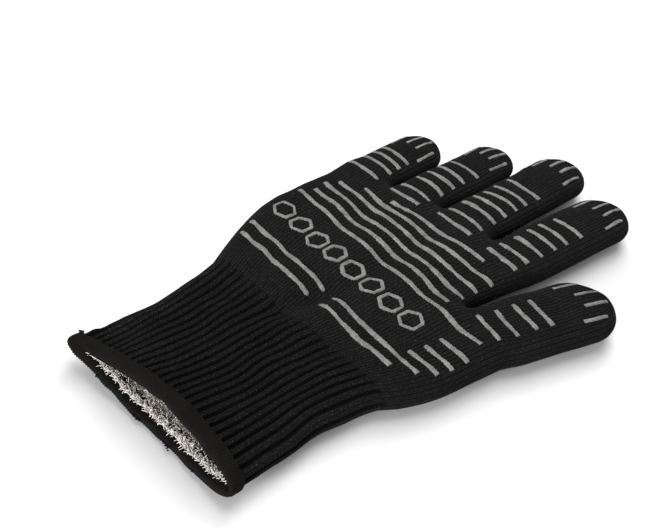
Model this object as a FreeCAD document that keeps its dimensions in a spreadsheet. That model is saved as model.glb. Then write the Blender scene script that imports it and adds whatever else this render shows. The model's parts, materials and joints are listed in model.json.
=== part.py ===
import FreeCAD, Part
import math
import os

import Sketcher

# A heat resistant knitted glove lying flat, palm side up. The knit and its lining bend at the
# wrist and at two folds in each digit, so each stretch between two folds is a rigid hollow piece
# and each fold is a hinge line. Grip strips are bonded to both faces.
# Frame: +X towards the thumb, +Y towards the fingertips, +Z up. The origin is the middle of the
# rectangle that the glove covers, at floor level. Millimetres and degrees.

# ---------------------------------------------------------------------------------------------
# Driving dimensions
# ---------------------------------------------------------------------------------------------
SIZES = {
    "hand_thick": 18.8,       # palm and digits, over the knit
    "cuff_thick": 21.4,
    "hem_thick": 22.0,
    "knit_wall": 2.2,         # outer aramid knit
    "liner_gap": 0.05,
    "liner_wall": 2.4,        # terry lining
    "liner_short": 1.2,       # the lining stops this far inside the knit's edge at a fold
    "hem_wall": 2.5,
    "hem_long": 6.0,
    "hem_round": 2.2,
    "fold_gap": 0.4,          # clearance at every fold
    "web_gap": 1.0,           # palm web to the side of a digit
    "side_round": 4.0,
    "strip_wide": 2.8,        # silicone strips
    "strip_high": 0.6,
    "tip_strip_long": 15.0,
    "hexagon_radius": 7.6,    # outlined hexagons, corner to middle
    "hexagon_line": 2.4,
    "hexagon_pitch": 15.2,
    "glove_back": -160.0,
    "lining_back": -158.0,
    "wrist_along": -88.0,     # wrist fold
}

# Corners of the palm and the cuff, as x and y.
CORNERS = {
    "heel_left": (-67.0, -76.6),
    "pad_left": (-78.0, -55.0),
    "blade_left": (-87.0, -36.0),
    "side_left": (-92.0, -12.0),
    "root_left": (-94.5, 10.0),
    "pad_right": (73.0, -38.0),
    "blade_right": (67.0, -58.0),
    "heel_right": (57.0, -76.6),
    "wrist_left": (-65.0, -77.0),
    "waist_left": (-60.0, -108.0),
    "hem_left": (-61.0, -154.0),
    "hem_right": (53.0, -154.0),
    "waist_right": (51.0, -108.0),
    "wrist_right": (55.0, -77.0),
}

# Each digit: root fold x and y, turn towards the thumb, width, root fold to middle fold,
# middle fold to tip, and the length of its cross strips.
DIGIT_FIELDS = ("across", "along", "turn", "wide", "base", "reach", "strip")
DIGITS = {
    "pinky": (-78.0, 55.0, 0.0, 33.0, 27.0, 24.0, 23.0),
    "ring": (-44.0, 65.0, 1.0, 31.0, 30.8, 39.2, 22.0),
    "middle": (-9.0, 69.0, 1.0, 34.0, 39.5, 51.5, 25.0),
    "index": (29.4, 66.0, 5.0, 34.0, 32.6, 46.7, 21.0),
    "thumb": (61.9, 7.6, 17.0, 39.0, 33.0, 33.0, 20.5),
}

# Cross strips of each digit, as distances past its root fold, its middle fold, and (negative)
# behind its root fold for those that lie on the palm.
BASE_STRIPS = {
    "pinky": (0.5, 8.0, 15.5),
    "ring": (0.5, 9.8, 19.3),
    "middle": (0.5, 9.6, 18.9, 28.1),
    "index": (0.5, 10.7, 21.0),
    "thumb": (0.5, 10.7, 21.0),
}
TIP_STRIPS = {"pinky": (), "ring": (0.5,), "middle": (0.5,), "index": (0.5,), "thumb": ()}
ROOT_STRIPS = {
    "pinky": (-11.3,),
    "ring": (-21.0, -11.3),
    "middle": (-20.8, -11.3),
    "index": (-20.7, -11.3),
    "thumb": (-11.3,),
}

# Lengthwise tip strips: sideways place as a share of the digit's width, and distance to the tip.
TIP_LENGTHWISE = ((-0.345, 12.5), (-0.115, 6.0), (0.115, 6.0), (0.345, 12.5))

# Stripes across the hand: middle x, middle y, length, tilt.
LONG_STRIPES = (
    (-10.0, -8.5, 150.0, -5.5),
    (-23.5, 2.0, 113.0, -5.0),
    (-23.0, 10.5, 116.0, -4.5),
    (-20.5, 19.5, 113.0, -4.0),
    (-12.5, 27.5, 100.0, -1.7),
    (-11.0, 35.5, 68.0, 1.0),
)
WRIST_STRIPES = ((-13.5, -56.5, 122.0, -4.4), (-10.0, -48.0, 138.0, -5.5))
THUMB_BASE_STRIPS = ((55.0, -47.0, 19.0, -4.0), (57.5, -38.0, 19.0, -4.0), (58.5, -28.5, 19.0, -4.0))
HEXAGON_ROW = (-22.0, -25.5, 8, -5.0)   # middle x, middle y, count, tilt

CUT_CLEAR = 2.0        # how far a cut runs past the solid
SIDE_SLANT = 1.1       # wall measured across a slanted side
MOSTLY_ALONG = 1.2     # length against width of an edge that counts as running along the hand
SHORTEST_ROUNDED = 14.0
HEM_EDGE_OVER = 50.0   # the hem's ends are shorter than this, its long edges longer
HEXAGON_TURN = 30.0    # puts a corner of each hexagon at the top
HEXAGON_SIDES = 6
EDGE_TOLERANCE = 1e-6
LEAST_CUT = 1.0        # cubic millimetres: a pocket that takes less has missed its solid
LEAST_RUN = 1.0        # an edge shorter than this along the hand lies across it
CUFF_SPAN = 3.0        # a cut across the cuff, in lengths from the middle to its right side

doc = FreeCAD.newDocument("heat_resistant_glove")
pieces = []


# ---------------------------------------------------------------------------------------------
# Sheet
# ---------------------------------------------------------------------------------------------
class Size:
    """A number together with the sheet expression that gives it."""

    def __init__(self, value, text):
        self.value = value
        self.text = text

    def join(self, sign, other, value):
        text = other.text if isinstance(other, Size) else repr(float(other))
        return Size(value, "(%s %s %s)" % (self.text, sign, text))

    def __add__(self, other):
        return self.join("+", other, self.value + number(other))

    def __sub__(self, other):
        return self.join("-", other, self.value - number(other))

    def __mul__(self, other):
        return self.join("*", other, self.value * number(other))

    def __truediv__(self, other):
        return self.join("/", other, self.value / number(other))

    def __neg__(self):
        return Size(-self.value, "(0 - %s)" % self.text)


ZERO = Size(0.0, "0")


def number(item):
    return item.value if isinstance(item, Size) else float(item)


def sine(angle):
    return Size(math.sin(math.radians(angle.value)), "sin(%s * 1 deg)" % angle.text)


def cosine(angle):
    return Size(math.cos(math.radians(angle.value)), "cos(%s * 1 deg)" % angle.text)


def make_sheet():
    """Write the driving dimensions to the sheet and give back a Size for each."""
    cells = dict(SIZES)
    for name, (across, along) in CORNERS.items():
        cells[name + "_across"] = across
        cells[name + "_along"] = along
    for name, values in DIGITS.items():
        for field, value in zip(DIGIT_FIELDS, values):
            cells[name + "_" + field] = value
    sheet = doc.addObject("Spreadsheet::Sheet", "Sizes")
    sizes = {}
    for row, (alias, value) in enumerate(cells.items(), start=1):
        sheet.set("A%d" % row, alias)
        sheet.set("B%d" % row, str(value))
        sheet.setAlias("B%d" % row, alias)
        sizes[alias] = Size(value, "Sizes." + alias)
    doc.recompute()
    return sizes


S = make_sheet()
HALF = S["hand_thick"] / 2
CUFF_HALF = S["cuff_thick"] / 2
HAND_LEVEL = HALF + S["strip_high"]
CUFF_LEVEL = S["hem_thick"] / 2
LINING_INSET = S["knit_wall"] + S["liner_gap"]
HOLLOW_INSET = LINING_INSET + S["liner_wall"]


# ---------------------------------------------------------------------------------------------
# Sketches and features
# ---------------------------------------------------------------------------------------------
def pin(sketch, kind, geometry, point, size):
    """Hold one coordinate of a sketch point at a sheet expression, or on an axis."""
    if not isinstance(size, Size):
        axis = -2 if kind == "DistanceX" else -1
        sketch.addConstraint(Sketcher.Constraint("PointOnObject", geometry, point, axis))
        return
    index = sketch.addConstraint(Sketcher.Constraint(kind, -1, 1, geometry, point, size.value))
    sketch.setExpression("Constraints[%d]" % index, size.text)


def draw_outline(sketch, points, arc_centre=None):
    """Draw a closed outline. With a centre, its last side is an arc, anticlockwise."""
    places = [FreeCAD.Vector(number(x), number(y), 0) for x, y in points]
    count = len(places)
    for index, start in enumerate(places):
        end = places[(index + 1) % count]
        if arc_centre is None or index < count - 1:
            sketch.addGeometry(Part.LineSegment(start, end))
            continue
        centre = FreeCAD.Vector(number(arc_centre[0]), number(arc_centre[1]), 0)
        first = math.atan2(start.y - centre.y, start.x - centre.x)
        last = math.atan2(end.y - centre.y, end.x - centre.x)
        circle = Part.Circle(centre, FreeCAD.Vector(0, 0, 1), (start - centre).Length)
        sketch.addGeometry(Part.ArcOfCircle(circle, first, last + (math.tau if last < first else 0.0)))
    for index, (x, y) in enumerate(points):
        sketch.addConstraint(Sketcher.Constraint("Coincident", index, 2, (index + 1) % count, 1))
        pin(sketch, "DistanceX", index, 1, x)
        pin(sketch, "DistanceY", index, 1, y)
    if arc_centre is not None:
        level_chord = abs(places[0].y - places[-1].y) < EDGE_TOLERANCE
        kind, held = ("DistanceY", arc_centre[1]) if level_chord else ("DistanceX", arc_centre[0])
        pin(sketch, kind, count - 1, 3, held)


def extrude(body, kind, points, length, role="XY_Plane", arc_centre=None):
    """A pad or a pocket that goes half its length to each side of an origin plane."""
    before = body.Shape.Volume if body.Tip else 0.0
    serial = len(body.Group)
    sketch = body.newObject("Sketcher::SketchObject", "%s_outline_%d" % (body.Name, serial))
    plane = [item for item in body.Origin.OriginFeatures if item.Role == role][0]
    sketch.AttachmentSupport = [(plane, "")]
    sketch.MapMode = "FlatFace"
    draw_outline(sketch, points, arc_centre)
    feature = body.newObject("PartDesign::" + kind, "%s_%s_%d" % (body.Name, kind.lower(), serial))
    feature.Profile = sketch
    feature.SideType = "Symmetric"
    feature.Length = length.value
    feature.setExpression("Length", length.text)
    doc.recompute()
    if kind == "Pocket" and body.Shape.Volume > before - LEAST_CUT:
        raise RuntimeError("a pocket of %s cut nothing" % body.Label)
    return feature


def round_edges(body, base, radius, chosen):
    """Round the edges of a slab's two faces where chosen says so."""
    thick = base.Shape.BoundBox.ZLength
    names = []
    for index, edge in enumerate(base.Shape.Edges, start=1):
        on_face = abs(abs(edge.BoundBox.ZMin) - thick / 2) < EDGE_TOLERANCE
        if on_face and edge.BoundBox.ZLength < EDGE_TOLERANCE and chosen(edge):
            names.append("Edge%d" % index)
    fillet = body.newObject("PartDesign::Fillet", body.Name + "_rounded")
    fillet.Base = (base, names)
    fillet.Radius = radius.value
    fillet.setExpression("Radius", radius.text)
    doc.recompute()


def round_fold_end(body, radius, span, side):
    """Trim one end to a half round about the fold, which is the body's X axis."""
    far = CUFF_HALF + CUT_CLEAR
    forward = far * side
    points = [
        (0, radius * side),
        (0, far * side),
        (forward, far * side),
        (forward, far * -side),
        (0, far * -side),
        (0, radius * -side),
    ]
    extrude(body, "Pocket", points, span, "YZ_Plane", arc_centre=(0, 0))


def new_body(name, across, along, level, turn=0.0):
    """A body whose own X axis lies along its fold; it is one kept piece."""
    body = doc.addObject("PartDesign::Body", name)
    body.Label = name
    spin = FreeCAD.Rotation(FreeCAD.Vector(0, 0, 1), -turn)
    body.Placement = FreeCAD.Placement(FreeCAD.Vector(across, along, level), spin)
    pieces.append(body)
    return body


# ---------------------------------------------------------------------------------------------
# Digits
# ---------------------------------------------------------------------------------------------
def along_digit(name, distance):
    """x and y of a point on a digit's middle line, at a distance past its root fold."""
    turn = S[name + "_turn"]
    return S[name + "_across"] + sine(turn) * distance, S[name + "_along"] + cosine(turn) * distance


def segment_place(name, segment):
    start = S[name + "_base"] if segment == "tip" else ZERO
    across, along = along_digit(name, start)
    return number(across), number(along), HAND_LEVEL.value, S[name + "_turn"].value


def segment_outline(name, segment, inset, back, end_clear):
    """A digit segment seen from above, pulled in by inset, with its arc's centre at a tip."""
    half_wide = S[name + "_wide"] / 2 - inset
    if segment == "base":
        front = S[name + "_base"] - HALF - S["fold_gap"] + end_clear
        return [(half_wide, front), (-half_wide, front), (-half_wide, back), (half_wide, back)], None
    shoulder = S[name + "_reach"] - S[name + "_wide"] / 2
    return [
        (-half_wide, shoulder),
        (-half_wide, back),
        (half_wide, back),
        (half_wide, shoulder),
    ], (0, shoulder)


def runs_along(edge):
    """True for a digit's long edges and its round tip."""
    return edge.BoundBox.YLength > LEAST_RUN


def make_layer(name, segment, layer, inset, wall):
    """The knit or the lining of one digit segment: a slab, round at its fold, with a hollow."""
    body = new_body("%s_%s_%s" % (name, segment, layer), *segment_place(name, segment))
    radius = HALF - inset
    short = ZERO if layer == "knit" else -S["liner_short"]
    outline, centre = segment_outline(name, segment, inset, -HALF, short)
    base = extrude(body, "Pad", outline, radius * 2, arc_centre=centre)
    if layer == "knit":
        round_edges(body, base, S["side_round"], runs_along)
    round_fold_end(body, radius, S[name + "_wide"] + CUT_CLEAR, -1)
    clear = ZERO + CUT_CLEAR
    outline, centre = segment_outline(name, segment, inset + wall, -HALF - clear, clear)
    extrude(body, "Pocket", outline, (radius - wall) * 2, arc_centre=centre)


# ---------------------------------------------------------------------------------------------
# Palm and cuff
# ---------------------------------------------------------------------------------------------
def corner(name, inset=ZERO):
    """A named corner of the outline, pulled in towards the middle of the hand by inset."""
    shift = inset * (SIDE_SLANT if name.endswith("left") else -SIDE_SLANT)
    return S[name + "_across"] + shift, S[name + "_along"]


def seat(name, inset, reach):
    """Where a digit meets the palm: its two corners, or a tongue that reaches past them."""
    turn = S[name + "_turn"]
    middle_x, middle_y = along_digit(name, -HALF - S["fold_gap"])
    margin = -S["web_gap"] if inset is ZERO else inset
    half_wide = S[name + "_wide"] / 2 - margin
    deep = -inset
    corners = []
    for side, distance in ((-1, deep), (-1, reach), (1, reach), (1, deep)):
        x = middle_x + cosine(turn) * half_wide * side + sine(turn) * distance
        y = middle_y - sine(turn) * half_wide * side + cosine(turn) * distance
        corners.append((x, y))
    return corners[1:3] if inset is ZERO else corners


def palm_outline(inset, reach):
    """The palm from above, pulled in by inset and reaching past the wrist and each digit's seat."""
    heel_left_x, heel_y = corner("heel_left", inset)
    points = [(heel_left_x, heel_y - reach)]
    points += [corner(name, inset) for name in ("pad_left", "blade_left", "side_left", "root_left")]
    for name in ("pinky", "ring", "middle", "index"):
        corners = seat(name, inset, reach)
        if name == "ring" and inset is not ZERO:
            points.append((corners[0][0], points[-1][1]))
        points += corners
    if inset is not ZERO:
        crotch_x, crotch_y = seat("thumb", ZERO, ZERO)[0]
        points.append((crotch_x - inset * SIDE_SLANT, crotch_y - inset))
    points += seat("thumb", inset, reach)
    points += [corner(name, inset) for name in ("pad_right", "blade_right")]
    heel_right_x, heel_y = corner("heel_right", inset)
    points.append((heel_right_x, heel_y - reach))
    return points


def is_palm_side(edge):
    """True for the palm's outer sides, which run mostly along the hand."""
    box = edge.BoundBox
    return box.YLength > box.XLength * MOSTLY_ALONG and edge.Length > SHORTEST_ROUNDED


def make_palm():
    layers = (("palm_knit", ZERO, S["knit_wall"]), ("palm_lining", LINING_INSET, S["liner_wall"]))
    for name, inset, wall in layers:
        body = new_body(name, 0, 0, HAND_LEVEL.value)
        reach = ZERO if inset is ZERO else -S["liner_short"]
        base = extrude(body, "Pad", palm_outline(inset, reach), (HALF - inset) * 2)
        if inset is ZERO:
            round_edges(body, base, S["side_round"], is_palm_side)
        extrude(body, "Pocket", palm_outline(inset + wall, ZERO + CUT_CLEAR), (HALF - inset - wall) * 2)


def cuff_outline(inset, back, front_clear):
    """The cuff from above, measured from the wrist fold."""
    wrist = S["wrist_along"]
    points = []
    for name in ("hem_left", "waist_left", "wrist_left", "wrist_right", "waist_right", "hem_right"):
        x, y = corner(name, inset)
        place = (x, (back if name.startswith("hem") else y) - wrist)
        ahead = (x, y - wrist + front_clear)
        if front_clear is ZERO or not name.startswith("wrist"):
            points.append(place)
        else:
            points += [place, ahead] if name == "wrist_left" else [ahead, place]
    return points


def make_cuff():
    knit_back = S["hem_left_along"]
    clear = ZERO + CUT_CLEAR
    layers = (
        ("cuff_rib_knit", ZERO, S["knit_wall"], knit_back),
        ("cuff_lining", LINING_INSET, S["liner_wall"], S["lining_back"]),
    )
    for name, inset, wall, back in layers:
        body = new_body(name, 0, S["wrist_along"].value, CUFF_LEVEL.value)
        radius = CUFF_HALF - inset
        base = extrude(body, "Pad", cuff_outline(inset, back, ZERO), radius * 2)
        if inset is ZERO:
            round_edges(body, base, S["side_round"], runs_along)
        round_fold_end(body, radius, S["wrist_right_across"] * CUFF_SPAN, 1)
        hollow = cuff_outline(inset + wall, back - clear, clear)
        extrude(body, "Pocket", hollow, (radius - wall) * 2)


def make_hem():
    """The overlocked edge: a ring round the mouth of the cuff."""
    body = new_body("hem_overlock", 0, (S["glove_back"] + S["hem_long"] / 2).value, CUFF_LEVEL.value)
    for kind, inset in (("Pad", ZERO), ("Pocket", S["hem_wall"])):
        left = S["hem_left_across"] - S["hem_wall"] + S["knit_wall"] + inset
        right = S["hem_right_across"] + S["hem_wall"] - S["knit_wall"] - inset
        high = S["hem_thick"] / 2 - inset
        ring = [(left, -high), (right, -high), (right, high), (left, high)]
        length = S["hem_long"] + (CUT_CLEAR if kind == "Pocket" else 0.0)
        feature = extrude(body, kind, ring, length, "XZ_Plane")
        if kind == "Pad":
            round_edges(body, feature, S["hem_round"], lambda edge: edge.Length > HEM_EDGE_OVER)


# ---------------------------------------------------------------------------------------------
# Silicone grip, the same on both faces
# ---------------------------------------------------------------------------------------------
FACES = {"palm": HALF, "back": -HALF - S["strip_high"]}


def new_strip(name, place, x, y, level, length, wide, tilt=0.0):
    """One flat strip of length by wide, centred on x and y and turned by tilt, on a placed body."""
    box = doc.addObject("Part::Box", name)
    for field, size in (("Length", length), ("Width", wide), ("Height", S["strip_high"])):
        setattr(box, field, number(size))
        if isinstance(size, Size):
            box.setExpression(field, size.text)
    spin = FreeCAD.Rotation(FreeCAD.Vector(0, 0, 1), tilt)
    centre = FreeCAD.Vector(x, y, number(level))
    offset = spin.multVec(FreeCAD.Vector(-number(length) / 2, -number(wide) / 2, 0))
    box.Placement = place.multiply(FreeCAD.Placement(centre + offset, spin))
    return box


def group(name, members):
    """Several separate strips kept as one named piece."""
    compound = doc.addObject("Part::Compound", name)
    compound.Label = name
    compound.Links = members
    pieces.append(compound)


def segment_placement(name, segment):
    x, y, z, turn = segment_place(name, segment)
    return FreeCAD.Placement(FreeCAD.Vector(x, y, z), FreeCAD.Rotation(FreeCAD.Vector(0, 0, 1), -turn))


def make_digit_strips(name, face, level):
    """Cross strips on both segments, and lengthwise ones at the tip."""
    length = S[name + "_strip"]
    for segment, places in (("base", BASE_STRIPS[name]), ("tip", TIP_STRIPS[name])):
        label = "%s_%s_%s_strips" % (name, segment, face)
        place = segment_placement(name, segment)
        strips = []
        for index, distance in enumerate(places):
            strip_name = "%s_cross_%d" % (label, index)
            strips.append(new_strip(strip_name, place, 0, distance, level, length, S["strip_wide"]))
        if segment == "tip":
            long = S["tip_strip_long"]
            for index, (share, setback) in enumerate(TIP_LENGTHWISE):
                x = share * S[name + "_wide"].value
                y = (S[name + "_reach"] - setback - long / 2).value
                strip_name = "%s_lengthwise_%d" % (label, index)
                strips.append(new_strip(strip_name, place, x, y, level, S["strip_wide"], long))
        group(label, strips)


def make_hand_stripes(name, face, level, stripes):
    """Straight stripes on the palm piece, each as middle x, middle y, length, tilt."""
    label = "%s_side_%s" % (face, name)
    place = FreeCAD.Placement(FreeCAD.Vector(0, 0, HAND_LEVEL.value), FreeCAD.Rotation())
    members = []
    for index, (x, y, length, tilt) in enumerate(stripes):
        strip_name = "%s_%d" % (label, index)
        members.append(new_strip(strip_name, place, x, y, level, length, S["strip_wide"], tilt))
    group(label, members)


def root_stripes():
    """The cross strips that lie on the palm behind a digit's root fold."""
    stripes = []
    for name, distances in ROOT_STRIPS.items():
        for distance in distances:
            x, y = along_digit(name, ZERO + distance)
            stripes.append((x.value, y.value, S[name + "_strip"].value, -S[name + "_turn"].value))
    return stripes


def make_hexagon_row(face, level):
    """A plain decorative row of hexagon outlines."""
    middle_x, middle_y, count, tilt = HEXAGON_ROW
    slope = math.radians(tilt)
    outlines = []
    for index in range(count):
        reach = (index - (count - 1) / 2) * S["hexagon_pitch"].value
        x = middle_x + reach * math.cos(slope)
        y = middle_y + reach * math.sin(slope)
        centre = FreeCAD.Vector(x, y, HAND_LEVEL.value + level.value)
        spin = FreeCAD.Rotation(FreeCAD.Vector(0, 0, 1), tilt + HEXAGON_TURN)
        prisms = []
        for part, radius in (("rim", S["hexagon_radius"]), ("inside", S["hexagon_radius"] - S["hexagon_line"])):
            prism = doc.addObject("Part::Prism", "%s_hexagon_%s_%d" % (face, part, index))
            prism.Polygon = HEXAGON_SIDES
            prism.Circumradius = radius.value
            prism.setExpression("Circumradius", radius.text)
            prism.Height = S["strip_high"].value
            prism.setExpression("Height", S["strip_high"].text)
            prism.Placement = FreeCAD.Placement(centre, spin)
            prisms.append(prism)
        outline = doc.addObject("Part::Cut", "%s_hexagon_%d" % (face, index))
        outline.Base, outline.Tool = prisms
        outlines.append(outline)
    group("%s_side_hexagon_row" % face, outlines)


def make_grip(face, level):
    for name in DIGITS:
        make_digit_strips(name, face, level)
    make_hand_stripes("long_stripes", face, level, LONG_STRIPES)
    make_hand_stripes("root_strips", face, level, root_stripes())
    make_hand_stripes("wrist_stripes", face, level, WRIST_STRIPES)
    make_hand_stripes("thumb_base_strips", face, level, THUMB_BASE_STRIPS)
    make_hexagon_row(face, level)


# ---------------------------------------------------------------------------------------------
# Build, check and write
# ---------------------------------------------------------------------------------------------
def build():
    make_palm()
    make_cuff()
    make_hem()
    for name in DIGITS:
        for segment in ("base", "tip"):
            make_layer(name, segment, "knit", ZERO, S["knit_wall"])
            make_layer(name, segment, "lining", LINING_INSET, S["liner_wall"])
    for face, level in FACES.items():
        make_grip(face, level)
    doc.recompute()


def check_and_write():
    for item in doc.Objects:
        if "Invalid" in item.State or "Error" in item.State:
            raise RuntimeError("%s did not build" % item.Name)
    for piece in pieces:
        if piece.Shape.isNull() or not piece.Shape.isValid() or not piece.Shape.Solids:
            raise RuntimeError("%s has no sound shape" % piece.Label)
    os.makedirs("parts", exist_ok=True)
    for piece in pieces:
        piece.Shape.exportStep("parts/%s.step" % piece.Label)
    print("%d pieces written" % len(pieces))


build()
check_and_write()
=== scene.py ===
import json
import math

import bpy
import numpy as np
from mathutils import Matrix, Vector
from mathutils.bvhtree import BVHTree


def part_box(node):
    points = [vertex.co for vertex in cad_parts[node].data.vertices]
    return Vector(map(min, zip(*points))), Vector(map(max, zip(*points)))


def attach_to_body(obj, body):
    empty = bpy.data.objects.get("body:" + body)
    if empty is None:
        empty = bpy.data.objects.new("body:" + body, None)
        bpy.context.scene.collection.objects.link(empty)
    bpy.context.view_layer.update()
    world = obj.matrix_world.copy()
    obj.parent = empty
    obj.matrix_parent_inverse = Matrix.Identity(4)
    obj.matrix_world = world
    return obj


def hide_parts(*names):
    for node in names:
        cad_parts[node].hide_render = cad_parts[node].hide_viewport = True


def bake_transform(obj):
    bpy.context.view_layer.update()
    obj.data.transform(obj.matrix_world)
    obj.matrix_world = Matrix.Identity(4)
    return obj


# A heat resistant glove: one seamless knitted skin from the mouth of the cuff to each fingertip,
# a terry lining inside it, a rolled overlocked hem, and silicone strips on both faces. Skin and
# lining are built whole and then cut into one piece for each body.
# Sizes here are millimetres in the object's own frame, and meshes are written in metres.

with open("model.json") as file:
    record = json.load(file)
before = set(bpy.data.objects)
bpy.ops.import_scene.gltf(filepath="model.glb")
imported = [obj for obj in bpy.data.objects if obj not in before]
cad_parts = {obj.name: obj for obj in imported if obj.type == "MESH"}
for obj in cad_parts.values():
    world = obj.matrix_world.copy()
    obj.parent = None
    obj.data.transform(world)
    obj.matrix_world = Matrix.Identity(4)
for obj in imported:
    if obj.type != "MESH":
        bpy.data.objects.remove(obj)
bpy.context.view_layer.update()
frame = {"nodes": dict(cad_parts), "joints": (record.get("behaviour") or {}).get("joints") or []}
MM = 0.001

# ---- Shape of the knitted tube ----
HAND_CELLS = 36         # cells across one face at the wrist, the last 8 of which become the thumb
THUMB_CELLS = 8
FINGER_CELLS = 7
SIDE_CELLS = 3
QUADS_PER_WALE = 4
WALES_PER_RIB = 3       # two raised wales and one sunk one
QUADS_PER_RIB = QUADS_PER_WALE * WALES_PER_RIB
MOUTH_LINE = -157.5
WRIST_LINE = -77.0
CUFF_SPLIT = -73.6      # where the cuff's piece ends and the palm's begins
LINING_INSET = 3.4      # the lining lies this far inside the knit
KNIT_GRAIN = (8, 0.6)   # quads in a cell, and length of a quad along the hand
LINING_GRAIN = (2, 2.4)
RELAXING = {"knit": 160, "lining": 12}      # rounds of smoothing near the crotches
PINCH_SHARE = 0.45      # how much thinner the cloth is at a crotch
PINCH_REACH = 7.5
RELAX_REACH = 12.0
CORNER_SHARE = 1.0 - math.cos(math.pi / 4)
EDGE_RADIUS = 12.0      # roundness of the palm's sides
EDGE_DEPTH = EDGE_RADIUS * CORNER_SHARE
CUFF_ROUNDING = (96.0, 168.0)   # the cuff's sides grow rounder between these, down the hand
CUFF_ROUNDING_GAIN = 38.0
TIP_TURN = 86.0         # degrees that a digit's rings turn round its tip before it is sewn shut
TIP_THINNING = 0.62     # a tip's thickness falls as this power of its width
ROOT_REACH = 13.0       # a digit takes up its own section this far past its root
UPPER_PALM_LONG = 50.0  # from the thumb's crotch to the fingers' roots, which sets its rows

CUFF_LEFT = ((-62, -160), (-61, -144), (-60, -121), (-60.5, -108), (-63.5, -92), (-67, -77), (-71, -69))
CUFF_RIGHT = ((53, -160), (52, -136), (51, -117), (51, -103), (53, -90), (57, -77), (61, -70))
PALM_LEFT = ((-67, -77), (-73, -66), (-79, -54), (-86, -39), (-89.5, -27), (-92, -12), (-92.5, 2))
PALM_RIGHT = ((57, -77), (63.5, -67), (68.5, -55), (72, -41), (74.3, -25), (76.5, -10))
UPPER_LEFT = ((-92.5, 2), (-92, 14), (-92, 28), (-94, 44))
UPPER_RIGHT = ((37, 2), (38.5, 14), (41.2, 32), (45.5, 52))
CROTCHES = {"thumb": (37.0, 2.0), "ring": (-60.8, 46.5), "middle": (-28.0, 56.5), "index": (8.5, 57.0)}

HAND_TOP = 18.9
HAND_BOTTOM = 1.0
# Height of the top and the bottom of the tube, by the distance along the hand.
LEVELS = (
    (-160.0, 18.3, 1.9),
    (-140.0, 17.8, 2.0),
    (-120.0, 17.5, 1.7),
    (-92.0, 16.9, 1.6),
    (-80.0, 17.9, 1.4),
    (-64.0, HAND_TOP, HAND_BOTTOM),
    (200.0, HAND_TOP, HAND_BOTTOM),
)
MIDDLE_LEVEL = 10.0

# Each digit: width, roundness of its sides, and where the skin is cut between its two pieces,
# as a distance past its root fold.
DIGITS = {
    "pinky": (32.5, 15.0, 18.5),
    "ring": (31.5, 14.5, 16.5),
    "middle": (35.5, 15.5, 24.0),
    "index": (36.5, 15.5, 17.5),
    "thumb": (42.0, 17.0, 17.0),
}
FINGERS = ("pinky", "ring", "middle", "index")


def smoothstep(value, low, high):
    share = np.clip((value - low) / (high - low), 0.0, 1.0)
    return share * share * (3.0 - 2.0 * share)


def curve(points, count):
    """A smooth line through the points, as count + 1 evenly spaced places."""
    knots = np.array(points, float)
    knots = np.vstack([2 * knots[0] - knots[1], knots, 2 * knots[-1] - knots[-2]])
    dense = []
    for before, start, end, after in zip(knots, knots[1:], knots[2:], knots[3:]):
        for t in np.linspace(0.0, 1.0, 24, endpoint=False):
            pull = (end - before) * (t - 2 * t * t + t ** 3) + (after - start) * (t ** 3 - t * t)
            stay = start * (2 * t ** 3 - 3 * t * t + 1) + end * (3 * t * t - 2 * t ** 3)
            dense.append(stay + pull / 2)
    dense.append(knots[-2])
    dense = np.array(dense)
    length = np.concatenate([[0.0], np.cumsum(np.linalg.norm(np.diff(dense, axis=0), axis=1))])
    places = np.linspace(0.0, length[-1], count + 1)
    return np.stack([np.interp(places, length, dense[:, axis]) for axis in (0, 1)], axis=1)


def soft_noise(places, wavelength, seed):
    """Smooth repeatable noise of about -1 to 1 with features of the given size."""
    rng = np.random.default_rng(seed)
    total = np.zeros(len(places))
    for _ in range(9):
        way = rng.normal(size=3)
        way *= math.tau / wavelength * rng.uniform(0.6, 1.4) / np.linalg.norm(way)
        total += np.sin(places @ way + rng.uniform(0.0, math.tau))
    return total / 3.2


def unit(ways):
    return ways / np.linalg.norm(ways, axis=-1, keepdims=True)


def crown(distance, radius):
    """Height of a rounded side, from 0 at the edge to 1 where the face is level."""
    share = np.clip(distance / radius, 0.0, 1.0)
    return np.sqrt(1.0 - (1.0 - share) ** 2)


def levels(along, inset):
    table = np.array(LEVELS)
    top = np.interp(along, table[:, 0], table[:, 1]) - inset
    bottom = np.interp(along, table[:, 0], table[:, 2]) + inset
    return top, bottom


def root_fold(name):
    """Place of a digit's root fold in millimetres, and the way the digit points."""
    facts = [item for item in frame["joints"] if item["name"] == name + "_root_fold"][0]
    across = np.array(facts["axis"][:2])
    return np.array(facts["pos_m"][:2]) / MM, np.array([-across[1], across[0]])


def digit_reach(name):
    """Distance from a digit's root fold to its tip, read from the CAD box."""
    root, ahead = root_fold(name)
    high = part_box(name + "_tip_knit")[1]
    half = DIGITS[name][0] / 2
    tip_centre_along = high.y / MM - half
    return (tip_centre_along - root[1]) / ahead[1] + half


def numbered(rings, first=0):
    """The numbers of the points of some rings, in the rings' own arrangement."""
    return first + np.arange(rings[..., 0].size).reshape(rings.shape[:-1])


def faces_round(grid, flipped=False, endless=False):
    """Four-sided faces between the rows of a grid of point numbers, closed round each row, and
    from the last row back to the first where the rows have no end."""
    grid = np.vstack([grid, grid[:1]]) if endless else grid
    beside = np.roll(grid, -1, axis=-1)
    corners = [grid[..., :-1, :], beside[..., :-1, :], beside[..., 1:, :], grid[..., 1:, :]]
    quads = np.stack(corners, axis=-1).reshape(-1, 4)
    return quads[:, (0, 3, 2, 1)] if flipped else quads


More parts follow.
